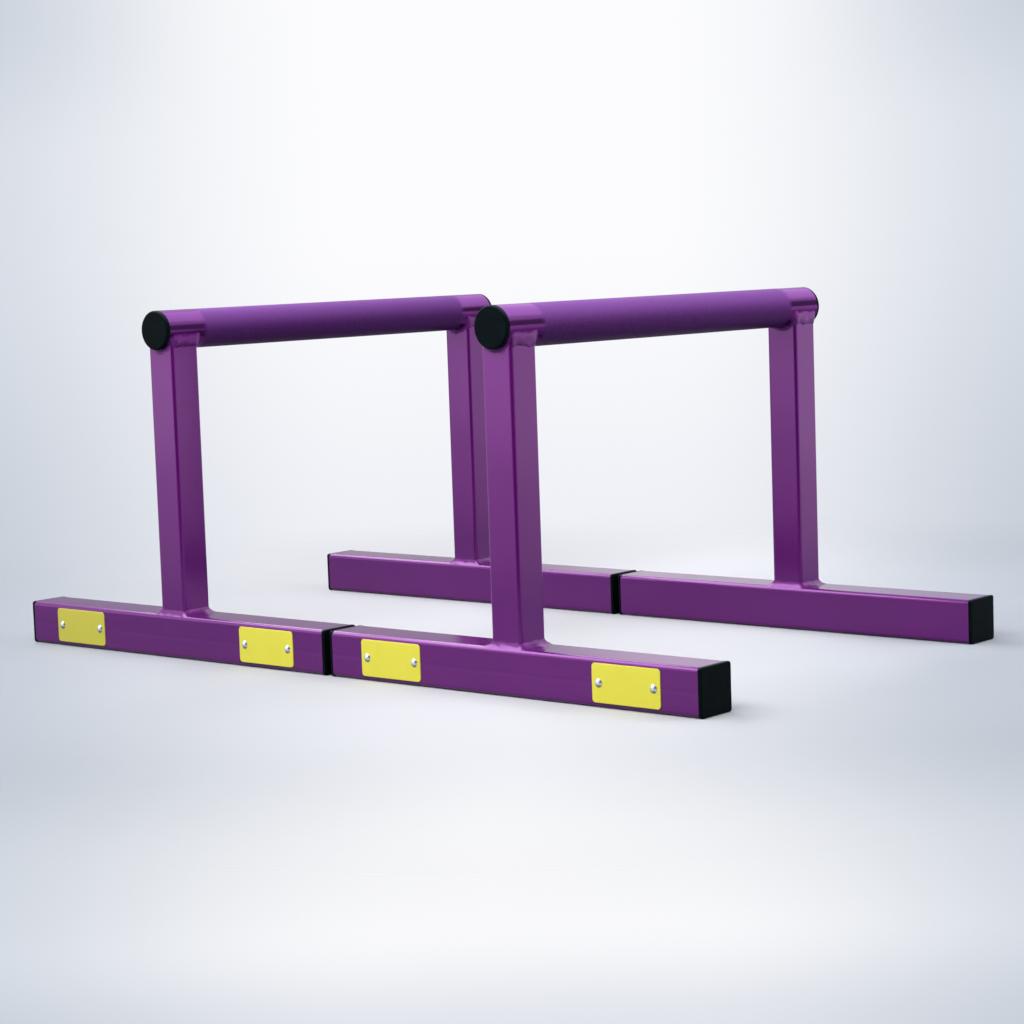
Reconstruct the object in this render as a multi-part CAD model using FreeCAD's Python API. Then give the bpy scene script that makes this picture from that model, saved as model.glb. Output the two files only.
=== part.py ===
# A pair of free-standing parallettes in welded steel tube, standing end to end.
# Each stand has two square feet along X, two square posts and one round handle along Y.
# The origin is on the floor, midway between the two stands. +Z is up and -Y is the front.
import FreeCAD, Part
import os

Vector = FreeCAD.Vector

# Driving dimensions, in millimetres

# Feet: square tube lying on the floor
foot_length = 490.0
foot_side = 50.0
foot_wall = 3.0
foot_corner = 5.0

# Posts: square tube, one on the middle of each foot
post_side = 40.0
post_wall = 2.5
post_corner = 4.0
post_spacing = 510.0

# Handle: round tube across the two posts
stand_height = 400.0
handle_diameter = 45.0
handle_wall = 3.0
handle_overhang = 3.0

# Welds: a flared bead under each post and a fillet in the coped joint above it
foot_weld_height = 6.0
foot_weld_run = 8.0
handle_weld_radius = 6.0

# Square end plugs of the feet
plug_flange = 4.0
plug_corner = 3.0
plug_edge = 1.2
plug_depth = 24.0
plug_wall = 2.0
plug_rib_reach = 1.4
plug_rib_pitch = 5.0
plug_rib_foot = 3.0

# Round end caps of the handle
cap_flange = 5.0
cap_edge = 2.5
cap_depth = 26.0
cap_wall = 2.2
cap_rib_reach = 1.4
cap_rib_pitch = 5.5
cap_rib_foot = 3.2

# Plates riveted to the front face of each front foot
plate_width = 85.0
plate_height = 40.0
plate_thickness = 1.0
plate_corner = 4.0
plate_edge = 0.4
plate_end_margin = 44.5

# Domed rivets, two for each plate
rivet_spacing = 68.0
rivet_head_diameter = 9.0
rivet_head_height = 1.9
rivet_shank_diameter = 4.8
rivet_tail_diameter = 7.2
rivet_tail_length = 4.5

# Free distance between the facing plugs of the two stands
stand_gap = 8.0

# Clearances, the overrun of every cut and the tolerance for finding a seam
press_clearance = 0.1
rivet_clearance = 0.1
overrun = 10.0
seam_tolerance = 0.001

# Shares and counts
bore_corner_share = 0.4
# How far the middle of a quarter arc lies inside each side of its square corner, by its radius
arc_middle_share = 1 - 0.5 ** 0.5
plug_rib_count = 4
cap_rib_count = 4
# Each bead section: level by the bead's height, spread along the foot by its run, across it by the ledge
foot_weld_shares = (
    (-0.66, 1.75, 0.90),
    (-0.33, 1.40, 0.80),
    (0.00, 1.00, 0.54),
    (0.30, 0.50, 0.32),
    (0.62, 0.18, 0.16),
    (1.00, 0.06, 0.08),
)

# Derived sizes
foot_half = foot_side / 2
foot_bore = foot_side - 2 * foot_wall
post_half = post_side / 2
post_place = post_spacing / 2
handle_radius = handle_diameter / 2
handle_bore_radius = handle_radius - handle_wall
handle_axis = stand_height - handle_radius
handle_end = post_place + post_half + handle_overhang
handle_length = 2 * handle_end
foot_ledge = foot_half - post_half
front_face = -post_place - foot_half
plate_offset = foot_length / 2 - plate_end_margin - plate_width / 2
stand_pitch = foot_length + 2 * plug_flange + stand_gap
sides = (("left", -1), ("right", 1))


def rounded_wire(width, depth, corner, level):
    """Rectangle with rounded corners about the Z axis, at the given level."""
    x, y = width / 2, depth / 2
    mid = corner * arc_middle_share
    corners = ((1, 1), (-1, 1), (-1, -1), (1, -1))
    arcs = []
    for sx, sy in corners:
        on_x_side = Vector(sx * x, sy * (y - corner), level)
        on_y_side = Vector(sx * (x - corner), sy * y, level)
        middle = Vector(sx * (x - mid), sy * (y - mid), level)
        ends = (on_x_side, on_y_side) if sx == sy else (on_y_side, on_x_side)
        arcs.append((ends[0], middle, ends[1]))
    edges = []
    for arc, following in zip(arcs, arcs[1:] + arcs[:1]):
        edges.append(Part.Arc(*arc).toShape())
        edges.append(Part.LineSegment(arc[2], following[0]).toShape())
    return Part.Wire(edges)


def rounded_prism(width, depth, corner, bottom, height):
    """Upright solid bar with rounded corners."""
    face = Part.Face(rounded_wire(width, depth, corner, bottom))
    return face.extrude(Vector(0, 0, height))


def aimed(shape, direction, place):
    """The shape turned from +Z to a direction and moved to its place."""
    turned = shape.copy()
    turned.Placement = FreeCAD.Placement(place, FreeCAD.Rotation(Vector(0, 0, 1), direction))
    return turned


def foot_bar(side, corner, length):
    """Solid bar along X, resting where a foot rests, about the middle of the foot."""
    bar = rounded_prism(side, side, corner, -length / 2, length)
    return aimed(bar, Vector(1, 0, 0), Vector(0, 0, foot_half))


def foot():
    """Square tube of one foot."""
    bore = foot_bar(foot_bore, foot_corner * bore_corner_share, foot_length + overrun)
    return foot_bar(foot_side, foot_corner, foot_length).cut(bore)


def post_bar():
    """Solid outline of a post, from its foot up to the axis of the handle."""
    return rounded_prism(post_side, post_side, post_corner, foot_side, handle_axis - foot_side)


def handle_bar(radius, length):
    """Solid round bar on the handle's axis."""
    start = Vector(0, -length / 2, handle_axis)
    return Part.makeCylinder(radius, length, start, Vector(0, 1, 0))


def handle_tube():
    """Round tube that the hands hold."""
    bore = handle_bar(handle_bore_radius, handle_length + overrun)
    return handle_bar(handle_radius, handle_length).cut(bore)


def post():
    """Square tube of one post, its top coped to sit on the underside of the handle."""
    bore_side = post_side - 2 * post_wall
    bore = rounded_prism(bore_side, bore_side, post_corner * bore_corner_share,
                         foot_side - overrun, handle_axis - foot_side + 2 * overrun)
    return post_bar().cut([bore, handle_bar(handle_radius, post_side + overrun)])


def foot_weld():
    """Bead round the base of a post, run out along the foot and wrapped over its rounded edges."""
    sections = []
    for level_share, run_share, wrap_share in foot_weld_shares:
        run = foot_weld_run * run_share
        wrap = foot_ledge * wrap_share
        level = foot_side + foot_weld_height * level_share
        sections.append(rounded_wire(post_side + 2 * run, post_side + 2 * wrap, post_corner + wrap, level))
    bead = Part.makeLoft(sections, True)
    return bead.cut([foot_bar(foot_side, foot_corner, foot_length), post_bar()])


def handle_weld(end):
    """Fillet in the saddle under the handle, dressed flush with the handle's end."""
    upright = rounded_prism(post_side, post_side, post_corner, foot_side, stand_height - foot_side + overrun)
    bar = handle_bar(handle_radius, post_side + 4 * handle_weld_radius + overrun)
    joined = upright.fuse(bar)
    seam = []
    for edge in joined.Edges:
        middle = Part.Vertex(edge.valueAt((edge.FirstParameter + edge.LastParameter) / 2))
        apart = max(middle.distToShape(upright)[0], middle.distToShape(bar)[0])
        if apart < seam_tolerance and middle.Z < handle_axis:
            seam.append(edge)
    reach = 2 * handle_diameter
    width = 2 * reach
    tube_end = post_half + handle_overhang
    start = tube_end if end > 0 else -tube_end - reach
    beyond_end = Part.makeBox(width, reach, width, Vector(-reach, start, handle_axis - reach))
    above_axis = Part.makeBox(width, width, reach, Vector(-reach, -reach, handle_axis))
    return joined.makeFillet(handle_weld_radius, seam).cut([upright, bar, beyond_end, above_axis])


def foot_plug():
    """Square plug along +Z: a rounded flange and a hollow stem with tapered ribs."""
    stem_side = foot_bore - 2 * plug_rib_reach
    stem_corner = foot_corner * bore_corner_share
    flange = rounded_prism(foot_side, foot_side, plug_corner, 0, plug_flange)
    rim = [edge for edge in flange.Edges if edge.BoundBox.ZMin > plug_flange / 2]
    plug = flange.makeFillet(plug_edge, rim)
    plug = plug.fuse(rounded_prism(stem_side, stem_side, stem_corner, -plug_depth, plug_depth))
    rib_side = foot_bore - 2 * press_clearance
    for index in range(plug_rib_count):
        top = -plug_rib_foot - index * plug_rib_pitch
        wide = rounded_wire(rib_side, rib_side, stem_corner, top)
        narrow = rounded_wire(stem_side, stem_side, stem_corner, top - plug_rib_pitch / 2)
        plug = plug.fuse(Part.makeLoft([wide, narrow], True, True))
    hollow_side = stem_side - 2 * plug_wall
    hollow = rounded_prism(hollow_side, hollow_side, stem_corner, -plug_depth - overrun, plug_depth + overrun)
    return plug.cut(hollow)


def handle_cap():
    """Round cap along +Z: a rounded disc and a hollow stem with tapered ribs, spun about the axis."""
    stem_radius = handle_bore_radius - cap_rib_reach
    rib_radius = handle_bore_radius - press_clearance
    edge_mid = cap_edge * arc_middle_share
    rim = Part.Arc(Vector(handle_radius - cap_edge, 0, cap_flange),
                   Vector(handle_radius - edge_mid, 0, cap_flange - edge_mid),
                   Vector(handle_radius, 0, cap_flange - cap_edge)).toShape()
    outline = [Vector(handle_radius, 0, cap_flange - cap_edge), Vector(handle_radius, 0, 0),
               Vector(stem_radius, 0, 0)]
    for index in range(cap_rib_count):
        top = -cap_rib_foot - index * cap_rib_pitch
        outline.append(Vector(stem_radius, 0, top))
        outline.append(Vector(rib_radius, 0, top))
        outline.append(Vector(stem_radius, 0, top - cap_rib_pitch / 2))
    outline.append(Vector(stem_radius, 0, -cap_depth))
    outline.append(Vector(stem_radius - cap_wall, 0, -cap_depth))
    outline.append(Vector(stem_radius - cap_wall, 0, 0))
    outline.append(Vector(0, 0, 0))
    outline.append(Vector(0, 0, cap_flange))
    outline.append(Vector(handle_radius - cap_edge, 0, cap_flange))
    section = Part.Face(Part.Wire([rim] + Part.makePolygon(outline).Edges))
    return section.revolve(Vector(0, 0, 0), Vector(0, 0, 1), 360)


def rivet_places():
    """Distances of a plate's two rivets from the plate's middle."""
    return (-rivet_spacing / 2, rivet_spacing / 2)


def rivet_drills():
    """Drills along Z for the rivets of one plate, through the plate and the wall behind it."""
    radius = rivet_shank_diameter / 2 + rivet_clearance
    length = foot_wall + plate_thickness + 2 * overrun
    start = -foot_wall - overrun
    return [Part.makeCylinder(radius, length, Vector(x, 0, start)) for x in rivet_places()]


def plate():
    """Thin plate with eased front edges and two rivet holes, its back on the plane Z = 0."""
    blank = rounded_prism(plate_width, plate_height, plate_corner, 0, plate_thickness)
    front = [edge for edge in blank.Edges if edge.BoundBox.ZMin > plate_thickness / 2]
    return blank.makeFillet(plate_edge, front).cut(rivet_drills())


def rivets():
    """The two rivets of a plate: domed heads on its front and set tails behind the wall of the foot."""
    head_radius = rivet_head_diameter / 2
    shank_radius = rivet_shank_diameter / 2
    tail_radius = rivet_tail_diameter / 2
    ball_radius = (head_radius ** 2 + rivet_head_height ** 2) / (2 * rivet_head_height)
    crown = plate_thickness + rivet_head_height
    half_radius = head_radius / 2
    half_level = crown - ball_radius + (ball_radius ** 2 - half_radius ** 2) ** 0.5
    tail_end = -foot_wall - rivet_tail_length
    dome = Part.Arc(Vector(0, 0, crown), Vector(half_radius, 0, half_level),
                    Vector(head_radius, 0, plate_thickness)).toShape()
    outline = [Vector(head_radius, 0, plate_thickness), Vector(shank_radius, 0, plate_thickness),
               Vector(shank_radius, 0, -foot_wall), Vector(tail_radius, 0, -foot_wall),
               Vector(tail_radius, 0, -foot_wall - rivet_tail_length / 2),
               Vector(shank_radius, 0, tail_end), Vector(0, 0, tail_end), Vector(0, 0, crown)]
    section = Part.Face(Part.Wire([dome] + Part.makePolygon(outline).Edges))
    rivet = section.revolve(Vector(0, 0, 0), Vector(0, 0, 1), 360)
    return Part.makeCompound([rivet.translated(Vector(x, 0, 0)) for x in rivet_places()])


def on_front_face(shape, x):
    """A shape modelled on the plane Z = 0, put on the front face of the front foot."""
    return aimed(shape, Vector(0, -1, 0), Vector(x, front_face, foot_half))


def front_foot():
    """Foot under the front post, drilled for the rivets of its two plates."""
    drills = []
    for x in (-plate_offset, plate_offset):
        drills += [on_front_face(drill, x) for drill in rivet_drills()]
    return foot().translated(Vector(0, -post_place, 0)).cut(drills)


def rear_foot():
    """Foot under the rear post."""
    return foot().translated(Vector(0, post_place, 0))


def end_pieces(end_name, end):
    """The post, beads, cap and plugs at the front or the rear of a stand."""
    base = Vector(0, end * post_place, 0)
    cap_place = Vector(0, end * handle_end, handle_axis)
    pieces = {
        f"{end_name}_post": post().translated(base),
        f"{end_name}_foot_weld": foot_weld().translated(base),
        f"{end_name}_handle_weld": handle_weld(end).translated(base),
        f"{end_name}_handle_cap": aimed(handle_cap(), Vector(0, end, 0), cap_place),
    }
    for side_name, side in sides:
        plug_place = Vector(side * foot_length / 2, end * post_place, foot_half)
        pieces[f"{end_name}_foot_{side_name}_plug"] = aimed(foot_plug(), Vector(side, 0, 0), plug_place)
    return pieces


def stand_pieces():
    """Every piece of one stand, about the middle of that stand."""
    pieces = {"handle_tube": handle_tube(), "front_foot": front_foot(), "rear_foot": rear_foot()}
    pieces.update(end_pieces("front", -1))
    pieces.update(end_pieces("rear", 1))
    for side_name, side in sides:
        pieces[f"{side_name}_plate"] = on_front_face(plate(), side * plate_offset)
        pieces[f"{side_name}_plate_rivets"] = on_front_face(rivets(), side * plate_offset)
    return pieces


def main():
    """Write every piece of the left and the right stand."""
    os.makedirs("parts", exist_ok=True)
    pieces = stand_pieces()
    for side_name, side in sides:
        place = Vector(side * stand_pitch / 2, 0, 0)
        for name, shape in pieces.items():
            shape.translated(place).exportStep(f"parts/{side_name}_stand_{name}.step")


main()
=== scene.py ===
import math
from collections import namedtuple

import bmesh
import bpy
from bpy.props import FloatProperty, FloatVectorProperty, IntProperty, PointerProperty
from bpy.types import Operator, Panel, PropertyGroup
from mathutils import Matrix, Vector, noise


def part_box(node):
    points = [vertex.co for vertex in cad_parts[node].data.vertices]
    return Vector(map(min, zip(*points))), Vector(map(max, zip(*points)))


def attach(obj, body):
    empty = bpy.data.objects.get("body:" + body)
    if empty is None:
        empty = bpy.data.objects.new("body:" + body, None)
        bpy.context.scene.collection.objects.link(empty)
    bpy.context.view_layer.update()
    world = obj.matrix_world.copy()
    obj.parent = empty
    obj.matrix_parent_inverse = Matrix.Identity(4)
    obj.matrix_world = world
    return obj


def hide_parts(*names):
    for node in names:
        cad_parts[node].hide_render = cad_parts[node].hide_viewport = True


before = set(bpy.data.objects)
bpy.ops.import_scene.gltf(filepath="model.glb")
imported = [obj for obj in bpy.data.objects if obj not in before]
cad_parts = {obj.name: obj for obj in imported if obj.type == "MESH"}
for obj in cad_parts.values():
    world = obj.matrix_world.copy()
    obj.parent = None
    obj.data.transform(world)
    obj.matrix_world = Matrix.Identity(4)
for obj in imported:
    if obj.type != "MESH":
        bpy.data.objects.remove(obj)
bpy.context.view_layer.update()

bl_info = {
    "name": "Parallette Pair",
    "version": (1, 0, 0),
    "blender": (4, 5, 0),
    "location": "View3D > Sidebar > Parallettes",
    "description": "Finishes a pair of welded steel parallettes and lights them in a pale studio",
    "category": "Object",
}

STANDS = ("left_stand", "right_stand")
ENDS = ("front", "rear")
X, Y, Z = range(3)
UP = Vector((0.0, 0.0, 1.0))
QUARTER_TURN = math.pi / 2


# Sizes and colours that a user would change


def length(name, description, default):
    """A size in metres."""
    return FloatProperty(name=name, description=description, default=default,
                         min=0.0, precision=4, unit="LENGTH")


def location(name, description, default):
    """A place in metres."""
    return FloatVectorProperty(name=name, description=description, default=default,
                               subtype="XYZ", unit="LENGTH")


def colour(name, description, default):
    """A linear colour."""
    return FloatVectorProperty(name=name, description=description, default=default,
                               subtype="COLOR", min=0.0, max=1.0)


def fraction(name, description, default):
    """A share from 0 to 1."""
    return FloatProperty(name=name, description=description, default=default, min=0.0, max=1.0)


def watts(name, description, default):
    """The power of a lamp."""
    return FloatProperty(name=name, description=description, default=default, min=0.0, unit="POWER")


def facets(name, description, default, least):
    """A number of facets or cuts."""
    return IntProperty(name=name, description=description, default=default, min=least)


class ParalletteTubes(PropertyGroup):
    """Sizes of the steel tubes that the boxes of the frame don't give"""

    foot_corner: length("Foot Corner", "Outer radius of the long edges of a foot", 0.005)
    foot_wall: length("Foot Wall", "Wall thickness of a foot", 0.003)
    post_corner: length("Post Corner", "Outer radius of the upright edges of a post", 0.004)
    post_wall: length("Post Wall", "Wall thickness of a post", 0.0025)
    handle_wall: length("Handle Wall", "Wall thickness of the handle", 0.003)
    corner_steps: facets("Corner Steps", "Facets in each rounded tube corner", 8, least=2)
    cope_cuts: facets("Cope Cuts", "Cuts across a post, at which its top follows the handle", 24, least=4)
    handle_steps: facets("Handle Steps", "Facets round the handle", 128, least=24)


class ParalletteWelds(PropertyGroup):
    """Shape of the painted weld beads"""

    base_height: length("Base Height", "How far the lower bead climbs a post", 0.0062)
    base_run: length("Base Run", "How far the lower bead runs out along a foot", 0.0100)
    base_wrap: length("Base Wrap", "How far the lower bead reaches over a foot's rounded edge", 0.0042)
    base_bulge: length("Base Bulge", "How far the lower bead bulges at the sides of a post", 0.0007)
    side_drop: length("Side Drop", "How far the upper bead hangs down the side of a post", 0.0100)
    face_drop: length("Face Drop", "How far the upper bead hangs down a post's front or rear", 0.0060)
    side_climb: length("Side Climb", "How far the upper bead stands out under the handle's side", 0.0019)
    face_reach: length("Face Reach", "How far the upper bead reaches along the handle", 0.0060)
    end_reach: length("End Reach", "How far the upper bead reaches towards the handle's near end", 0.0028)
    crown: length("Crown", "Bulge of the upper bead on the side of a post", 0.0016)
    root: length("Root", "How deep a bead sinks into the tubes that it joins", 0.0005)
    ripple: length("Ripple", "Height of the waves left along a bead", 0.00034)
    ripple_pitch: length("Ripple Pitch", "Distance from wave to wave along a bead", 0.0085)
    loop_steps: facets("Loop Steps", "Facets round a bead", 220, least=40)
    profile_steps: facets("Profile Steps", "Facets across a bead", 12, least=4)


class ParalletteFinish(PropertyGroup):
    """Colours of the paint, plastic, plates and rivets"""

    paint: colour("Paint", "Purple of the powder coat", (0.150, 0.0074, 0.194))
    paint_deep: colour("Deep Paint", "Thicker, darker patches of the powder coat", (0.132, 0.0062, 0.171))
    pearl: fraction("Pearl", "Share of metal flake in the powder coat", 0.30)
    # The grip zone and the gloss ends carry painted light on their upper sides and painted shade on their
    # undersides; the grip's darker colour also fills the hollows of its grain
    grip: colour("Grip", "Purple of the upper side of the satin grip zone", (0.244, 0.0800, 0.378))
    grip_grain_and_painted_shade: colour("Deep Grip", "Hollows and underside of the satin grip zone", (0.056, 0.0105, 0.092))
    handle_painted_light_top: colour("Handle Top", "Upper side of the gloss ends of a handle", (0.226, 0.0690, 0.318))
    handle_painted_shade_under: colour("Handle Underside", "Underside of the gloss ends of a handle", (0.066, 0.0034, 0.084))
    handle_sheen: colour("Handle Sheen", "Glancing reflections on the gloss ends", (0.800, 0.520, 0.900))
    grip_half: length("Grip Half Length", "Distance from a handle's middle to its grip zone's end", 0.225)
    plastic: colour("Plastic", "Black of the caps and plugs", (0.0018, 0.0040, 0.0052))
    # The dust setting is the colour of a painted highlight on the upper faces of the caps and plugs, which
    # stands in for reflected light
    dust: colour("Dust", "Dust on the upper edges of the caps and plugs", (0.0200, 0.0330, 0.0360))
    plate: colour("Plate", "Yellow of the plates", (1.000, 0.935, 0.088))
    plate_deep: colour("Deep Plate", "Duller patches of the plates", (0.970, 0.900, 0.082))
    # The outer plate on the left is painted darker: painted shade for the light that falls off at the far
    # left
    plate_painted_shade: colour("Worn Plate", "Outer plate on the left, dulled by handling", (0.740, 0.690, 0.080))
    rivet: colour("Rivet", "Bright metal of the rivets", (0.740, 0.840, 0.890))


class ParalletteStage(PropertyGroup):
    """Camera, floor and lights of the studio"""

    camera_place: location("Camera Place", "Where the camera stands", (1.89913, -2.18332, 0.44981))
    camera_aim: location("Camera Aim", "Point that the camera looks at", (0.00832, 0.02740, 0.14910))
    camera_roll: FloatProperty(name="Camera Roll", description="Turn of the camera about its own axis",
                               default=math.radians(-1.9699), subtype="ANGLE")
    lens: FloatProperty(name="Lens", description="Focal length on a 36 mm sensor",
                        default=87.5523, unit="CAMERA")
    backdrop: colour("Backdrop", "Bright middle of the backdrop", (0.975, 0.975, 0.990))
    backdrop_low: colour("Low Backdrop", "Middle of the backdrop below the horizon", (0.860, 0.870, 0.925))
    edge: colour("Edge", "Sides of the backdrop", (0.640, 0.690, 0.765))
    edge_low: colour("Low Edge", "Sides of the backdrop below the horizon", (0.535, 0.585, 0.660))
    flank: colour("Flank", "Bright walls to the left and right of the set", (1.000, 1.000, 1.000))
    dark: colour("Dark", "Dark cards round the set that only reflections show", (0.020, 0.020, 0.024))
    bounce: colour("Bounce", "Light that the floor sends back to the object", (0.060, 0.060, 0.065))
    floor_near: fraction("Near Floor", "Brightness of the near floor as a share of the backdrop's", 0.56)
    floor_far: fraction("Far Floor", "Brightness of the far floor as a share of the backdrop's", 0.71)
    floor_inner: length("Inner Floor", "Radius at which the floor starts to fade into the backdrop", 0.70)
    floor_radius: length("Floor Radius", "Radius of the floor", 1.40)
    ambient: fraction("Ambient", "Strength of the light from all round", 0.38)
    key_power: watts("Key Power", "Power of the long softbox up on the left", 84.0)
    left_power: watts("Left Power", "Power of the panel that only the front faces mirror", 4.3)
    right_power: watts("Right Power", "Power of the panel that only the right faces mirror", 0.9)
    back_power: watts("Back Power", "Power of the panel that only the handles mirror", 10.0)
    front_power: watts("Front Power", "Power of the softbox at the front", 16.5)
    side_power: watts("Side Power", "Power of the softbox at the right", 10.0)


# Shader maths


def fill_sockets(node, inputs):
    """Sets or links the input sockets of a node."""
    for key, value in inputs.items():
        if isinstance(value, Wire):
            node.id_data.links.new(value.socket, node.inputs[key])
        else:
            node.inputs[key].default_value = value


class Wire:
    """An output socket of a shader tree; sums and products of wires add Math nodes"""

    def __init__(self, socket):
        self.socket = socket

    def node(self, kind, settings=None, inputs=None, output=0):
        """Adds a node, its settings first and then the values or wires of its sockets."""
        made = self.socket.id_data.nodes.new(kind)
        for name, value in (settings or {}).items():
            setattr(made, name, value)
        fill_sockets(made, inputs or {})
        return Wire(made.outputs[output])

    def math(self, operation, *values):
        """Adds a Math node."""
        return self.node("ShaderNodeMath", {"operation": operation}, dict(enumerate(values)))

    def __add__(self, other):
        return self.math("ADD", self, other)

    def __radd__(self, other):
        return self.math("ADD", other, self)

    def __sub__(self, other):
        return self.math("SUBTRACT", self, other)

    def __rsub__(self, other):
        return self.math("SUBTRACT", other, self)

    def __mul__(self, other):
        return self.math("MULTIPLY", self, other)

    def __rmul__(self, other):
        return self.math("MULTIPLY", other, self)

    def __abs__(self):
        return self.math("ABSOLUTE", self)

    def largest(self, other):
        """The larger of this wire and another."""
        return self.math("MAXIMUM", self, other)

    def dot(self, direction):
        """Length of a vector along a fixed direction."""
        return self.node("ShaderNodeVectorMath", {"operation": "DOT_PRODUCT"},
                         {0: self, 1: direction}, output="Value")

    def size(self):
        """Length of a vector."""
        return self.node("ShaderNodeVectorMath", {"operation": "LENGTH"}, {0: self}, output="Value")

    def axis(self, index):
        """One coordinate of a vector."""
        return self.node("ShaderNodeSeparateXYZ", inputs={0: self}, output=index)

    def step(self, low, high):
        """Smooth step from 0 at the low value to 1 at the high one."""
        return self.node("ShaderNodeMapRange", {"interpolation_type": "SMOOTHSTEP"},
                         {"Value": self, "From Min": low, "From Max": high})

    def band(self, start, full, fade, end):
        """1 from the full value to the fade value, with a smooth step at either end."""
        return self.step(start, full) * (1 - self.step(fade, end))

    def grain(self, per_metre, detail=2.0, stretch=(1.0, 1.0, 1.0)):
        """Noise from 0 to 1 at a number of grains in a metre."""
        place = self.node("ShaderNodeMapping", inputs={"Vector": self, "Scale": stretch})
        return self.node("ShaderNodeTexNoise",
                         inputs={"Vector": place, "Scale": per_metre, "Detail": detail})

    def blend(self, low, high):
        """Colour between two colours, with this wire as the share of the second."""
        return self.node("ShaderNodeMix", {"data_type": "RGBA"},
                         {0: self, 6: opaque(low), 7: opaque(high)}, output=2)

    def bump(self, strength, distance):
        """Surface normal raised by this wire."""
        return self.node("ShaderNodeBump",
                         inputs={"Strength": strength, "Distance": distance, "Height": self})


def opaque(shade):
    """A colour with full alpha, which the wire of a colour already has."""
    return shade if isinstance(shade, Wire) else (*shade, 1.0)


def scaled(shade, factor):
    """A darker or lighter colour of the same tint."""
    return tuple(factor * value for value in shade)


def new_finish(name):
    """A fresh material, its shader and the wire of its Object coordinates."""
    material = bpy.data.materials.new(name)
    material.use_nodes = True
    nodes = material.node_tree.nodes
    return material, nodes["Principled BSDF"], Wire(nodes.new("ShaderNodeTexCoord").outputs["Object"])


def facing_up(place):
    """How far a surface faces up, from -1 to 1."""
    return Wire(place.socket.node.outputs["Normal"]).axis(Z)


def mix_surfaces(share, shader, over):
    """Makes the surface of a material its shader, with a share of another one."""
    mixed = share.node("ShaderNodeMixShader", inputs={0: share, 1: Wire(shader.outputs[0]), 2: over})
    fill_sockets(shader.id_data.nodes["Material Output"], {"Surface": mixed})


# Finishes

# Two faint lines of a front foot, a dark one and a light glint, painted in as reflections and given a slight
# bump: height above the foot's middle, the distances over which a line fades, its strength, and its
# brightness as a multiple of the paint's
PAINTED_LINE_RISE = 0.0016
PAINTED_LINE_FADE = (0.0002, 0.0012)
PAINTED_LINE_SHARE = 0.7
PAINTED_LINE_TINT = 0.72
PAINTED_GLINT_RISE = -0.0026
PAINTED_GLINT_FADE = (0.0003, 0.0018)
PAINTED_GLINT_SHARE = 0.28
PAINTED_GLINT_TINT = 1.35
# How far up a surface faces where an effect starts and where it ends, 1 being straight up: painted shade
# under the welds, painted light on top of the handles, the handles' more metallic underside, a painted
# highlight on top of the caps and plugs, and painted shade under the rivets
WELD_PAINTED_SHADE = (-0.60, -0.02)
HANDLE_PAINTED_LIGHT = (-0.28, 0.85)
HANDLE_FLAKE = (-0.17, -0.03)
PLASTIC_PAINTED_HIGHLIGHT = (0.25, 0.95)
RIVET_PAINTED_SHADE = (-0.70, 0.05)
# How far inside and outside its end the grip zone fades into the gloss
GRIP_FADE = (0.006, 0.003)
# Where along X, between the two plates of the left stand, the painted shade of the outer one stops
PLATE_PAINTED_SHADE_STOP = (-0.36, -0.30)


class PowderCoat:
    """Patterns in the powder coat: mottle, fine dust and orange peel"""

    def __init__(self, place):
        self.mottle = place.grain(per_metre=8.0, detail=3.0).step(0.25, 0.75)
        self.dust = place.grain(per_metre=1700.0)
        self.peel = place.grain(per_metre=330.0, detail=1.0)

    def shade(self, finish):
        """Purple with darker patches."""
        return (self.mottle * 0.8 + self.dust * 0.2).blend(finish.paint_deep, finish.paint)

    def gloss(self):
        """Roughness of the gloss coat."""
        return 0.13 + 0.05 * self.mottle + 0.05 * self.dust


def gloss_paint(finish):
    """Purple gloss powder coat of the posts and the rear feet."""
    material, shader, place = new_finish("purple_gloss_paint")
    coat = PowderCoat(place)
    fill_sockets(shader, {
        "Base Color": coat.shade(finish),
        "Roughness": coat.gloss(),
        "Metallic": finish.pearl,
        "Normal": coat.peel.bump(strength=0.10, distance=0.0004)})
    return material


def foot_paint(finish):
    """Gloss powder coat of the front feet, with two faint lines near half height: a dark line and a light
    glint painted in as reflections, also given a slight bump.
    """
    material, shader, place = new_finish("purple_foot_paint")
    coat = PowderCoat(place)
    low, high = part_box("left_stand_front_foot")
    rise = place.axis(Z) - (low.z + high.z) / 2
    # Painted reflections: a darker line and a lighter glint across the front face
    painted_dark_line = 1 - abs(rise - PAINTED_LINE_RISE).step(*PAINTED_LINE_FADE)
    painted_glint = 1 - abs(rise - PAINTED_GLINT_RISE).step(*PAINTED_GLINT_FADE)
    base = (painted_dark_line * PAINTED_LINE_SHARE).blend(coat.shade(finish), scaled(finish.paint, PAINTED_LINE_TINT))
    base = (painted_glint * PAINTED_GLINT_SHARE).blend(base, scaled(finish.paint, PAINTED_GLINT_TINT))
    fill_sockets(shader, {
        "Base Color": base,
        "Roughness": coat.gloss(),
        "Metallic": finish.pearl,
        "Normal": (coat.peel * 0.4 + painted_glint - painted_dark_line).bump(strength=0.10, distance=0.0004)})
    return material


def weld_paint(finish):
    """Gloss powder coat pooled over the lumps of a weld bead, with painted shade on its underside."""
    material, shader, place = new_finish("purple_weld_paint")
    coat = PowderCoat(place)
    lumps = place.grain(per_metre=95.0)
    base = lumps.step(0.35, 0.65).blend(coat.shade(finish), finish.paint)
    # Painted shade: faces of a bead that point down are darker, and more metallic
    painted_shade_under = 1 - facing_up(place).step(*WELD_PAINTED_SHADE)
    fill_sockets(shader, {
        "Base Color": painted_shade_under.blend(base, scaled(finish.paint, 0.4)),
        "Roughness": 0.20 + 0.06 * coat.dust,
        "Metallic": finish.pearl + 0.6 * painted_shade_under,
        "Normal": (lumps + 0.10 * coat.peel).bump(strength=0.16, distance=0.0010)})
    return material


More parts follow.
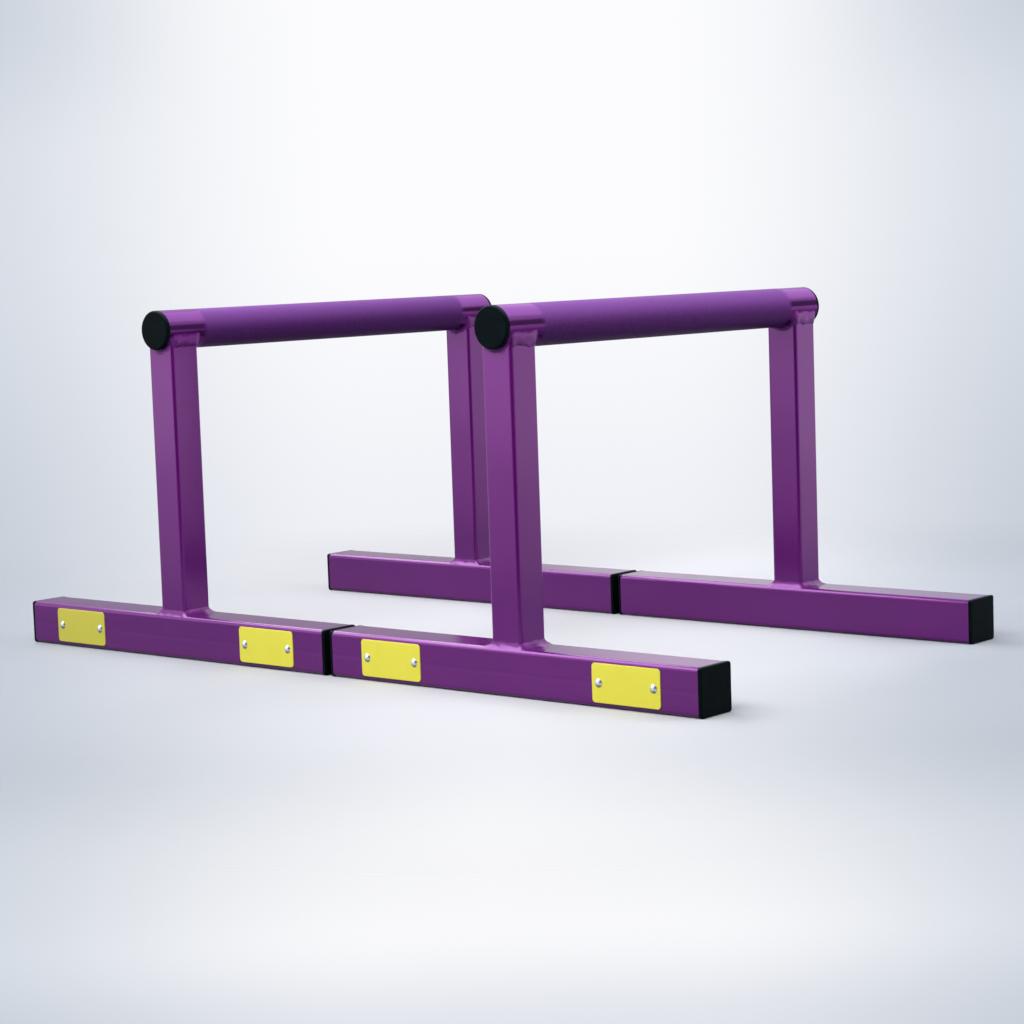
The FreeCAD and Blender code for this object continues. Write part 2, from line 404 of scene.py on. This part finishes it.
def handle_paint(finish):
    """Powder coat of a handle: gloss ends and a satin, fine-grained grip zone, both with painted light on
    top and painted shade underneath.
    """
    material, gloss, place = new_finish("purple_handle_paint")
    coat = PowderCoat(place)
    facing = facing_up(place)
    # Painted light and painted shade: upper faces take the lighter colours, undersides the darker ones
    painted_light_up = facing.step(*HANDLE_PAINTED_LIGHT)
    fill_sockets(gloss, {
        "Base Color": (0.9 * painted_light_up + 0.1 * coat.mottle).blend(finish.handle_painted_shade_under, finish.handle_painted_light_top),
        "Roughness": 0.12 + 0.05 * coat.dust,
        "Metallic": 0.90 - 0.20 * facing.step(*HANDLE_FLAKE),
        "Specular Tint": opaque(finish.handle_sheen),
        "Normal": coat.peel.bump(strength=0.08, distance=0.0004)})
    sand = place.grain(per_metre=820.0, detail=3.0).step(0.3, 0.7)
    satin = place.node("ShaderNodeBsdfPrincipled", inputs={
        "Base Color": (0.76 * painted_light_up + 0.24 * sand).blend(finish.grip_grain_and_painted_shade, finish.grip),
        "Roughness": 0.46 + 0.10 * sand,
        "Specular IOR Level": 0.05,
        "Normal": sand.bump(strength=0.16, distance=0.0005)})
    inside, outside = GRIP_FADE
    grip = 1 - abs(place.axis(Y)).step(finish.grip_half - inside, finish.grip_half + outside)
    mix_surfaces(grip, gloss, satin)
    return material


def black_plastic(finish):
    """Matt moulded plastic of the caps and plugs, with a painted highlight on its upper faces."""
    material, shader, place = new_finish("black_moulded_plastic")
    spark = place.grain(per_metre=1500.0, detail=3.0)
    cloud = place.grain(per_metre=60.0)
    base = (spark * cloud).step(0.15, 0.5).blend(finish.plastic, scaled(finish.plastic, 2.2))
    fill_sockets(shader, {
        # Painted highlight: upper faces take the lighter colour of the dust setting
        "Base Color": facing_up(place).step(*PLASTIC_PAINTED_HIGHLIGHT).blend(base, finish.dust),
        "Roughness": 0.46 + 0.16 * cloud,
        "Specular IOR Level": 0.03,
        "Normal": spark.bump(strength=0.28, distance=0.0004)})
    return material


def plate_paint(finish):
    """Yellow satin coat of the bare plates, brushed along their length."""
    material, shader, place = new_finish("yellow_plate_paint")
    cloud = place.grain(per_metre=55.0, detail=3.0)
    brush = place.grain(per_metre=900.0, stretch=(0.06, 1.0, 1.0))
    base = (cloud * 0.7 + brush * 0.3).step(0.25, 0.7).blend(finish.plate_deep, finish.plate)
    # Painted shade: the outer plate on the left is darker, mottled by the clouds
    outer = 1 - place.axis(X).step(*PLATE_PAINTED_SHADE_STOP)
    fill_sockets(shader, {
        "Base Color": (outer * (0.85 + 0.15 * cloud)).blend(base, finish.plate_painted_shade),
        "Roughness": 0.30 + 0.14 * brush,
        "IOR": 1.5,
        "Normal": (brush + 0.5 * cloud).bump(strength=0.08, distance=0.0003)})
    return material


def rivet_metal(finish):
    """Bright rivet heads with fine handling scratches and painted shade on their undersides."""
    material, shader, place = new_finish("bright_rivet_metal")
    haze = place.grain(per_metre=700.0, detail=3.0)
    scratch = place.grain(per_metre=2600.0, stretch=(1.0, 1.0, 0.12))
    base = haze.step(0.3, 0.7).blend(scaled(finish.rivet, 0.72), finish.rivet)
    fill_sockets(shader, {
        # Painted shade: the undersides of the heads are darker
        "Base Color": facing_up(place).step(*RIVET_PAINTED_SHADE).blend(scaled(finish.rivet, 0.16), base),
        "Roughness": 0.22 + 0.16 * haze,
        "Metallic": 1.0,
        "Normal": scratch.bump(strength=0.10, distance=0.0002)})
    return material


# Pieces

# Edges that turn more than this stay sharp
SHARP_TURN = math.radians(35)
# Part of its normal along the tube from which a face counts as a tube end
END_FACING = 0.9
# Vertices closer than this are merged where a handle closes and where a bead closes
HANDLE_MERGE = 1e-6
BEAD_MERGE = 1e-7


def middle_and_size(node):
    """Middle and size of the box of a CAD node."""
    low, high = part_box(node)
    return (low + high) / 2, high - low


def mix(low, high, share):
    """Value between two values."""
    return low + (high - low) * share


def new_object(bm, name, material):
    """Makes a bmesh an object of the scene and frees the bmesh."""
    mesh = bpy.data.meshes.new(name)
    bm.to_mesh(mesh)
    bm.free()
    mesh.materials.append(material)
    made = bpy.data.objects.new(name, mesh)
    bpy.context.scene.collection.objects.link(made)
    return made


def add_piece(bm, node, material):
    """Makes a bmesh the finished piece that stands for a CAD node."""
    bmesh.ops.recalc_face_normals(bm, faces=bm.faces)
    piece = new_object(bm, f"{node}_finished", material)
    piece.data.shade_smooth()
    piece.data.set_sharp_from_angle(angle=SHARP_TURN)
    piece.modifiers.new("flat sides", "WEIGHTED_NORMAL").keep_sharp = True
    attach(piece, next(stand for stand in STANDS if node.startswith(stand)))
    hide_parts(node)


def paint_nodes(endings, material):
    """Gives the CAD nodes with certain endings, whose shape is right, a better material."""
    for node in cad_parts:
        if not node.endswith(endings):
            continue
        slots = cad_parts[node].material_slots
        if not slots:
            raise RuntimeError(f"{node} has no material slot")
        for place in slots:
            place.material = material


def edges_along(bm, axis, reach):
    """Edges that run further than a reach along an axis."""
    return [edge for edge in bm.edges if abs(edge.verts[0].co[axis] - edge.verts[1].co[axis]) > reach]


def square_tube(middle, size, axis, corner, wall, steps, end_cuts=0):
    """Square tube with rounded corners and a bore along one axis.

    Cuts in the end edges along X leave the faces inside the tube rough.
    """
    bm = bmesh.new()
    bmesh.ops.create_cube(bm, size=1.0, matrix=Matrix.Translation(middle) @ Matrix.Diagonal((*size, 1.0)))
    bmesh.ops.bevel(bm, geom=edges_along(bm, axis, size[axis] / 2), offset=corner, offset_type="OFFSET",
                    segments=steps, profile=0.5, affect="EDGES", material=-1)
    if end_cuts:
        bmesh.ops.subdivide_edges(bm, edges=edges_along(bm, X, size.x / 2), cuts=end_cuts)
    bm.normal_update()
    ends = [face for face in bm.faces if abs(face.normal[axis]) > END_FACING]
    bmesh.ops.inset_individual(bm, faces=ends, thickness=wall, use_even_offset=True)
    rims = [edge for face in ends for edge in face.edges]
    bmesh.ops.delete(bm, geom=ends, context="FACES_ONLY")
    bmesh.ops.bridge_loops(bm, edges=rims)
    return bm


def build_foot(node, tubes, material):
    """Foot tube along X."""
    middle, size = middle_and_size(node)
    bm = square_tube(middle, size, X, tubes.foot_corner, tubes.foot_wall, tubes.corner_steps)
    add_piece(bm, node, material)


class Saddle:
    """Underside of a handle, which copes the posts"""

    def __init__(self, stand):
        middle, size = middle_and_size(f"{stand}_handle_tube")
        self.x, self.axis, self.radius = middle.x, middle.z, size.z / 2

    def level(self, x):
        """Height of the handle's underside above a place across it."""
        across = min(abs(x - self.x), self.radius)
        return self.axis - math.sqrt(self.radius ** 2 - across ** 2)


def build_post(node, stand, tubes, material):
    """Post tube along Z, its top coped to the underside of the handle."""
    middle, size = middle_and_size(node)
    saddle = Saddle(stand)
    bm = square_tube(middle, size, Z, tubes.post_corner, tubes.post_wall, tubes.corner_steps,
                     end_cuts=tubes.cope_cuts)
    for vert in bm.verts:
        if vert.co.z > middle.z:
            vert.co.z = saddle.level(vert.co.x)
    add_piece(bm, node, material)


def build_handle(node, tubes, material):
    """Handle tube, spun about its axis along Y."""
    middle, size = middle_and_size(node)
    outer, half = size.z / 2, size.y / 2
    inner = outer - tubes.handle_wall
    bm = bmesh.new()
    corners = ((outer, -half), (outer, half), (inner, half), (inner, -half))
    section = [bm.verts.new(middle + Vector((radius, along, 0.0))) for radius, along in corners]
    bm.faces.new(section)
    outline = section + list(bm.edges)
    bmesh.ops.delete(bm, geom=list(bm.faces), context="FACES_ONLY")
    bmesh.ops.spin(bm, geom=outline, cent=middle, axis=(0.0, 1.0, 0.0), angle=math.tau,
                   steps=tubes.handle_steps, use_merge=True)
    bmesh.ops.remove_doubles(bm, verts=bm.verts, dist=HANDLE_MERGE)
    add_piece(bm, node, material)


# Weld beads

# Slow waves along a bead: how many times the length and the height of the fast ones they have
SLOW_LENGTH = 3.1
SLOW_HEIGHT = 0.6
# Lower bead: unevenness of its run and height, distances from lump to lump, and shift between the two
BASE_SWELL = 0.20
BASE_RUN_PITCH = 0.011
BASE_HEIGHT_PITCH = 0.008
BASE_HEIGHT_SHIFT = Vector((0.0, 0.0, 5.0))
# How far along the lower bead's run and height its hidden sides reach
BASE_HIDDEN = 0.6
# Upper bead: unevenness of its size and distance from lump to lump
SADDLE_SWELL = 0.24
SADDLE_PITCH = 0.010
# Upper bead: share of its drop at which its profile turns, extra fullness on the sides, height of its waves
# next to the lower bead's, exponent of the lift at its edges, and share of its reach that its hidden side
# stays back
KNEE_DROP = 0.32
SIDE_PUFF = 0.0004
SADDLE_RIPPLE = 1.4
EDGE_LIFT = 0.5
SADDLE_HIDDEN = 0.4


class PostOutline:
    """Rounded square outline of a post, walked from 0 to 1"""

    def __init__(self, node, corner):
        self.middle, size = middle_and_size(node)
        self.corner = corner
        self.flat = size.x - 2 * corner
        self.arc = QUARTER_TURN * corner

    def at(self, share):
        """Point on the outline and the direction that leads away from the post there."""
        side, walked = divmod(share % 1.0 * 4 * (self.flat + self.arc), self.flat + self.arc)
        turn = Matrix.Rotation(side * QUARTER_TURN, 3, "Z")
        if walked < self.flat:
            away, core = Vector((1.0, 0.0, 0.0)), walked - self.flat / 2
        else:
            bend = (walked - self.flat) / self.corner
            away, core = Vector((math.cos(bend), math.sin(bend), 0.0)), self.flat / 2
        point = turn @ (Vector((self.flat / 2, core, 0.0)) + away * self.corner)
        return point + Vector((self.middle.x, self.middle.y, 0.0)), turn @ away


class FootTop:
    """Upper surface of a foot, flat with rounded long edges"""

    def __init__(self, node, corner):
        middle, size = middle_and_size(node)
        self.y, self.flat, self.corner = middle.y, size.y / 2 - corner, corner
        self.low = middle.z + size.z / 2 - corner

    def level(self, y):
        """Height of the surface at a place across the foot."""
        over = min(max(abs(y - self.y) - self.flat, 0.0), self.corner)
        return self.low + math.sqrt(self.corner ** 2 - over ** 2)


def swell(point, amount, pitch, shift=Vector()):
    """Factor about 1 by which a bead's size varies from place to place."""
    return 1 + amount * noise.noise(point / pitch + shift)


def waves(point, pitch):
    """Waves and lumps that laying a bead leaves, about -1 to 1."""
    return noise.noise(point / pitch) + SLOW_HEIGHT * noise.noise(point / (SLOW_LENGTH * pitch))


def bead_ring(welds, profile_at):
    """Closed ring through the profiles that a function gives along a loop."""
    bm = bmesh.new()
    rows = len(profile_at(0.0))
    bmesh.ops.create_grid(bm, x_segments=welds.loop_steps, y_segments=rows, size=0.5)
    profiles = {}
    for vert in bm.verts:
        step = round((vert.co.x + 0.5) * welds.loop_steps) % welds.loop_steps
        row = round((vert.co.y + 0.5) * rows) % rows
        if step not in profiles:
            profiles[step] = profile_at(step / welds.loop_steps)
        vert.co = profiles[step][row]
    bmesh.ops.remove_doubles(bm, verts=bm.verts, dist=BEAD_MERGE)
    return bm


def build_foot_weld(stand, end, welds, tubes, material):
    """Bead round the base of a post, flared along the foot and wrapped over its edges."""
    outline = PostOutline(f"{stand}_{end}_post", tubes.post_corner)
    top = FootTop(f"{stand}_{end}_foot", tubes.foot_corner)
    root = welds.root

    def profile_at(share):
        base, away = outline.at(share)
        side = away.x ** 2
        run = mix(welds.base_wrap, welds.base_run, side) * swell(base, BASE_SWELL, BASE_RUN_PITCH)
        height = welds.base_height * swell(base, BASE_SWELL, BASE_HEIGHT_PITCH, BASE_HEIGHT_SHIFT)
        points = []
        for step in range(welds.profile_steps + 1):
            turn = step / welds.profile_steps * QUARTER_TURN
            point = base + away * run * (1 - math.cos(turn))
            point.z = top.level(point.y) + height * (1 - math.sin(turn))
            rise = welds.ripple * waves(point, welds.ripple_pitch) + welds.base_bulge * side
            points.append(point + (away + UP) * rise * math.sin(2 * turn))
        for out, up in ((BASE_HIDDEN * run, -root), (-root, -root), (-root, BASE_HIDDEN * height)):
            point = base + away * out
            point.z = top.level(point.y) + up
            points.append(point)
        return points

    add_piece(bead_ring(welds, profile_at), f"{stand}_{end}_foot_weld", material)


def build_handle_weld(stand, end, welds, tubes, material):
    """Bead in the coped joint under the handle: a crowned patch on the sides, a fillet on the faces."""
    outline = PostOutline(f"{stand}_{end}_post", tubes.post_corner)
    saddle = Saddle(stand)
    outer = -1.0 if end == "front" else 1.0

    def profile_at(share):
        base, away = outline.at(share)
        side = away.x ** 2
        uneven = swell(base, SADDLE_SWELL, SADDLE_PITCH)
        drop = mix(welds.face_drop, welds.side_drop, side) * uneven
        face_reach = welds.end_reach if away.y * outer > 0 else welds.face_reach * uneven
        reach = mix(face_reach, welds.side_climb, side)
        low, knee, high = base.copy(), base + away * welds.crown * side, base + away * reach
        low.z = saddle.level(base.x) - drop
        knee.z = saddle.level(base.x) - KNEE_DROP * drop * side
        high.z = saddle.level(high.x)
        points = []
        for step in range(welds.profile_steps + 1):
            along = step / welds.profile_steps
            point = low.lerp(knee, along).lerp(knee.lerp(high, along), along)
            lift = math.sin(math.pi * along) ** EDGE_LIFT
            ripple = SADDLE_RIPPLE * welds.ripple * waves(point, welds.ripple_pitch)
            points.append(point + away * lift * (SIDE_PUFF * side + ripple))
        inside = away * welds.root
        deep = high - away * SADDLE_HIDDEN * reach
        deep.z = saddle.level(deep.x) + welds.root
        heart = base - inside
        heart.z = saddle.level(heart.x) + welds.root
        return points + [deep, heart, low - inside]

    add_piece(bead_ring(welds, profile_at), f"{stand}_{end}_handle_weld", material)


# Operators


class PARALLETTE_OT_feet(Operator):
    """Build the foot tubes"""

    bl_idname = "parallette.feet"
    bl_label = "Feet"

    def execute(self, context):
        finish = context.scene.parallette_finish
        for end, material in zip(ENDS, (foot_paint(finish), gloss_paint(finish))):
            for stand in STANDS:
                build_foot(f"{stand}_{end}_foot", context.scene.parallette_tubes, material)
        return {"FINISHED"}


class PARALLETTE_OT_posts(Operator):
    """Build the posts, coped to the handles"""

    bl_idname = "parallette.posts"
    bl_label = "Posts"

    def execute(self, context):
        material = gloss_paint(context.scene.parallette_finish)
        for stand in STANDS:
            for end in ENDS:
                build_post(f"{stand}_{end}_post", stand, context.scene.parallette_tubes, material)
        return {"FINISHED"}


class PARALLETTE_OT_handles(Operator):
    """Build the handle tubes"""

    bl_idname = "parallette.handles"
    bl_label = "Handles"

    def execute(self, context):
        material = handle_paint(context.scene.parallette_finish)
        for stand in STANDS:
            build_handle(f"{stand}_handle_tube", context.scene.parallette_tubes, material)
        return {"FINISHED"}


class PARALLETTE_OT_welds(Operator):
    """Lay the painted weld beads"""

    bl_idname = "parallette.welds"
    bl_label = "Welds"

    def execute(self, context):
        scene = context.scene
        material = weld_paint(scene.parallette_finish)
        for stand in STANDS:
            for end in ENDS:
                build_foot_weld(stand, end, scene.parallette_welds, scene.parallette_tubes, material)
                build_handle_weld(stand, end, scene.parallette_welds, scene.parallette_tubes, material)
        return {"FINISHED"}


class PARALLETTE_OT_plastics(Operator):
    """Finish the handle caps and the foot plugs"""

    bl_idname = "parallette.plastics"
    bl_label = "Caps and Plugs"

    def execute(self, context):
        paint_nodes(("_cap", "_plug"), black_plastic(context.scene.parallette_finish))
        return {"FINISHED"}


class PARALLETTE_OT_plates(Operator):
    """Finish the bare plates and their rivets"""

    bl_idname = "parallette.plates"
    bl_label = "Plates and Rivets"

    def execute(self, context):
        finish = context.scene.parallette_finish
        paint_nodes("_plate", plate_paint(finish))
        paint_nodes("_rivets", rivet_metal(finish))
        return {"FINISHED"}


# Stage

# Bands of the studio: where smooth steps start and end on the part of a direction that leads up, sideways
# or ahead
SKYLINE_UP = (-0.13, 0.02)
LOW_STRIP_UP = (-0.315, -0.26, -0.235, -0.195)
EDGE_SIDE = (0.055, 0.247)
CORNER_SIDE = (0.10, 0.25)
CORNER_UP = (0.04, 0.10)
RIM_UP = (-0.305, -0.262)
CEILING_UP = (0.25, 0.40)
FLANK_SIDE = (0.60, 0.85)
GAP_UP = (0.109, 0.117, 0.26, 0.36)
GAP_SIDE = (-0.02, 0.06)
GAP_AHEAD = (0.6, 0.8)
WALL_UP = (0.02, 0.05, 0.30, 0.36)
WALL_SIDE = (0.60, 0.80)
BEHIND_AHEAD = (-0.80, -0.60)
SKY_UP = (-0.08, 0.08)
# How far the corners and rim take the low edge's colour, and the gap and wall that of the dark cards
CORNER_SHARE = 0.8
RIM_SHARE = 0.35
GAP_SHARE = 0.70
WALL_SHARE = 0.9

# Bands of the floor: where smooth steps start and end, in metres ahead or to the right
NEAR_AHEAD = (-1.03, -0.63)
AWAY_AHEAD = (-0.10, 0.50)
DEPTH_AHEAD = (-0.92, 0.08)
RIGHT_SIDE = (-0.35, 0.30)
FAR_RIGHT_SIDE = (0.0, 0.5)
FLOOR_EDGE_SIDE = (0.145, 0.68)
# How much wider the floor's pale middle gets in a metre ahead
FLOOR_SPREAD = 0.20
# How much painted shade darkens the floor at the near left, how much painted light brightens it on the right
# and at the far right to even out the lamps' light, and how much its clouds take off
NEAR_LEFT_SHADE = 0.05
RIGHT_LIGHT = 0.12
FAR_RIGHT_LIGHT = 0.20
FLOOR_CLOUD = 0.03
# The floor lies this far under the feet
FLOOR_DROP = 0.0003
FLOOR_STEPS = 128

# Width of the camera's sensor in millimetres
SENSOR_WIDTH = 36.0

# Lamps: where each stands, the point that it faces, its width and height, the setting with its power,
# whether reflections show it, and whether it lights the object
Lamp = namedtuple("Lamp", "place aim size power mirrored lights")
LAMPS = {
    "key_light": Lamp((-1.78, -0.55, 2.14), (0.0, -0.35, 0.1), (4.3, 1.2), "key_power", True, True),
    "left_panel": Lamp((-1.40, -1.72, 0.565), (0.0, -0.25, 0.565), (1.6, 0.95), "left_power", True, False),
    "right_panel": Lamp((1.35, 1.50, 0.25), (0.0, 0.0, 0.25), (1.5, 0.4), "right_power", True, False),
    "back_panel": Lamp((0.00, 2.00, 2.20), (0.0, 0.0, 0.38), (3.0, 1.6), "back_power", True, False),
    "front_light": Lamp((0.35, -1.12, 1.08), (0.0, 0.0, 0.25), (1.2, 0.8), "front_power", False, True),
    "side_light": Lamp((1.30, 0.40, 0.80), (0.0, 0.0, 0.25), (1.0, 0.7), "side_power", False, True),
}


def rays(tree, kind):
    """1 for the rays of one kind, 0 for the others."""
    return Wire(tree.nodes.new("ShaderNodeLightPath").outputs[f"Is {kind} Ray"])


def shown_rays(tree):
    """1 for the rays that show the backdrop: to the camera, and in reflections and glass."""
    return rays(tree, "Camera").largest(rays(tree, "Glossy").largest(rays(tree, "Transmission")))


def set_axes(stage):
    """Level directions of the set: towards its backdrop and to its right."""
    ahead = Vector(stage.camera_aim) - Vector(stage.camera_place)
    ahead = Vector((ahead.x, ahead.y, 0.0)).normalized()
    return ahead, Vector((ahead.y, -ahead.x, 0.0))


def backdrop_shade(way, stage, mirrored):
    """Colour of the studio in a direction: pale all round, with dark cards that only reflections show."""
    ahead, across = set_axes(stage)
    front, side, up = way.dot(ahead), way.dot(across), way.axis(Z)
    spread = abs(side)
    lifted = up.step(*SKYLINE_UP) + up.band(*LOW_STRIP_UP)
    middle = lifted.blend(stage.backdrop_low, stage.backdrop)
    edge = lifted.blend(stage.edge_low, stage.edge)
    shade = spread.step(*EDGE_SIDE).blend(middle, edge)
    corner = CORNER_SHARE * spread.step(*CORNER_SIDE) * up.step(*CORNER_UP)
    rim = RIM_SHARE * (1 - up.step(*RIM_UP))
    shade = corner.largest(rim).blend(shade, stage.edge_low)
    bright = up.step(*CEILING_UP).largest(spread.step(*FLANK_SIDE))
    shade = bright.blend(shade, stage.flank)
    gap = GAP_SHARE * up.band(*GAP_UP) * (1 - side.step(*GAP_SIDE)) * front.step(*GAP_AHEAD)
    shade = (gap * mirrored).blend(shade, stage.dark)
    wall = WALL_SHARE * side.step(*WALL_SIDE) * up.band(*WALL_UP)
    behind = 1 - front.step(*BEHIND_AHEAD)
    return (wall.largest(behind) * mirrored).blend(shade, stage.dark)


def floor_shade(place, stage):
    """Colour of the floor, which follows the backdrop's, with painted shade towards its sides and painted
    light that evens out the lamps'.
    """
    ahead, across = set_axes(stage)
    depth, side = place.dot(ahead), place.dot(across)
    near = 1 - depth.step(*NEAR_AHEAD)
    middle = near.blend(stage.backdrop_low, stage.backdrop)
    edge = near.blend(stage.edge_low, stage.edge)
    pale = (abs(side) - FLOOR_SPREAD * depth).step(*FLOOR_EDGE_SIDE).blend(middle, edge)
    away, right = depth.step(*AWAY_AHEAD), side.step(*RIGHT_SIDE)
    # Painted light and painted shade that even out the lamps' light on the floor
    even = 1 - NEAR_LEFT_SHADE * (1 - right) * (1 - away) + RIGHT_LIGHT * right
    even = even + FAR_RIGHT_LIGHT * side.step(*FAR_RIGHT_SIDE) * away
    light = mix(stage.floor_near, stage.floor_far, depth.step(*DEPTH_AHEAD)) * even
    return (light - FLOOR_CLOUD * place.grain(per_metre=3.0)).blend((0.0, 0.0, 0.0), pale)


def add_floor(stage):
    """Pale floor that keeps the shadow and fades into the backdrop."""
    material, shader, place = new_finish("pale_floor")
    shown = shown_rays(material.node_tree)
    fill_sockets(shader, {
        "Base Color": shown.blend(stage.bounce, floor_shade(place, stage)),
        "Roughness": 0.9,
        "Specular IOR Level": 0.0})
    fade = place.size().step(stage.floor_inner, stage.floor_radius)
    mix_surfaces(fade, shader, place.node("ShaderNodeBsdfTransparent"))
    bm = bmesh.new()
    bmesh.ops.create_circle(bm, cap_ends=True, segments=FLOOR_STEPS, radius=stage.floor_radius,
                            matrix=Matrix.Translation((0.0, 0.0, -FLOOR_DROP)))
    floor = new_object(bm, "floor", material)


def add_world(stage):
    """Studio that the camera and reflections see, and its even light for the rest."""
    world = bpy.data.worlds.new("studio")
    bpy.context.scene.world = world
    world.use_nodes = True
    tree = world.node_tree
    way = Wire(tree.nodes.new("ShaderNodeTexCoord").outputs["Generated"])
    sky = way.axis(Z).step(*SKY_UP) * stage.ambient
    fill_sockets(tree.nodes["Background"], {
        "Color": backdrop_shade(way, stage, mirrored=1 - rays(tree, "Camera")),
        "Strength": sky.largest(shown_rays(tree))})


def look(place, aim):
    """Turn of a lamp or camera that stands at one place and faces another."""
    return (Vector(aim) - Vector(place)).to_track_quat("-Z", "Y")


def add_softbox(name, lamp, power):
    """Soft area light that the camera doesn't see."""
    light = bpy.data.lights.new(name, "AREA")
    light.shape = "RECTANGLE"
    light.size, light.size_y = lamp.size
    light.energy = power
    softbox = bpy.data.objects.new(name, light)
    softbox.location = lamp.place
    softbox.rotation_euler = look(lamp.place, lamp.aim).to_euler()
    softbox.visible_camera = False
    softbox.visible_glossy = lamp.mirrored
    softbox.visible_diffuse = lamp.lights
    bpy.context.scene.collection.objects.link(softbox)


def add_camera(stage):
    """Camera at the photographed angle."""
    camera = bpy.data.objects.new("camera", bpy.data.cameras.new("camera"))
    camera.data.lens = stage.lens
    camera.data.sensor_width = SENSOR_WIDTH
    turn = look(stage.camera_place, stage.camera_aim).to_matrix().to_4x4()
    roll = Matrix.Rotation(stage.camera_roll, 4, "Z")
    camera.matrix_world = Matrix.Translation(Vector(stage.camera_place)) @ (turn @ roll)
    bpy.context.scene.collection.objects.link(camera)
    bpy.context.scene.camera = camera


class PARALLETTE_OT_stage(Operator):
    """Set up the floor, the backdrop, the lights and the camera"""

    bl_idname = "parallette.stage"
    bl_label = "Stage"

    def execute(self, context):
        stage = context.scene.parallette_stage
        context.scene.view_settings.view_transform = "Standard"
        add_floor(stage)
        add_world(stage)
        for name, lamp in LAMPS.items():
            add_softbox(name, lamp, getattr(stage, lamp.power))
        add_camera(stage)
        return {"FINISHED"}


OPERATORS = (
    PARALLETTE_OT_feet,
    PARALLETTE_OT_posts,
    PARALLETTE_OT_handles,
    PARALLETTE_OT_welds,
    PARALLETTE_OT_plastics,
    PARALLETTE_OT_plates,
    PARALLETTE_OT_stage,
)
GROUPS = {
    "parallette_tubes": ParalletteTubes,
    "parallette_welds": ParalletteWelds,
    "parallette_finish": ParalletteFinish,
    "parallette_stage": ParalletteStage,
}


class PARALLETTE_PT_panel(Panel):
    """Lists the sizes, the colours and the steps"""

    bl_idname = "PARALLETTE_PT_panel"
    bl_label = "Parallettes"
    bl_space_type = "VIEW_3D"
    bl_region_type = "UI"
    bl_category = "Parallettes"

    def draw(self, context):
        for operator in OPERATORS:
            self.layout.operator(operator.bl_idname)
        for name, group in GROUPS.items():
            box = self.layout.box()
            box.label(text=group.__doc__)
            for prop in group.__annotations__:
                box.prop(getattr(context.scene, name), prop)


def register():
    """Adds the settings, the operators and the panel."""
    for group in GROUPS.values():
        bpy.utils.register_class(group)
    for name, group in GROUPS.items():
        setattr(bpy.types.Scene, name, PointerProperty(type=group))
    for operator in OPERATORS:
        bpy.utils.register_class(operator)
    bpy.utils.register_class(PARALLETTE_PT_panel)


def unregister():
    """Takes the panel, the operators and the settings away again."""
    bpy.utils.unregister_class(PARALLETTE_PT_panel)
    for operator in reversed(OPERATORS):
        bpy.utils.unregister_class(operator)
    for name in GROUPS:
        delattr(bpy.types.Scene, name)
    for group in reversed(GROUPS.values()):
        bpy.utils.unregister_class(group)


def main():
    register()
    bpy.ops.parallette.feet()
    bpy.ops.parallette.posts()
    bpy.ops.parallette.handles()
    bpy.ops.parallette.welds()
    bpy.ops.parallette.plastics()
    bpy.ops.parallette.plates()
    bpy.ops.parallette.stage()


if __name__ == "__main__":
    main()
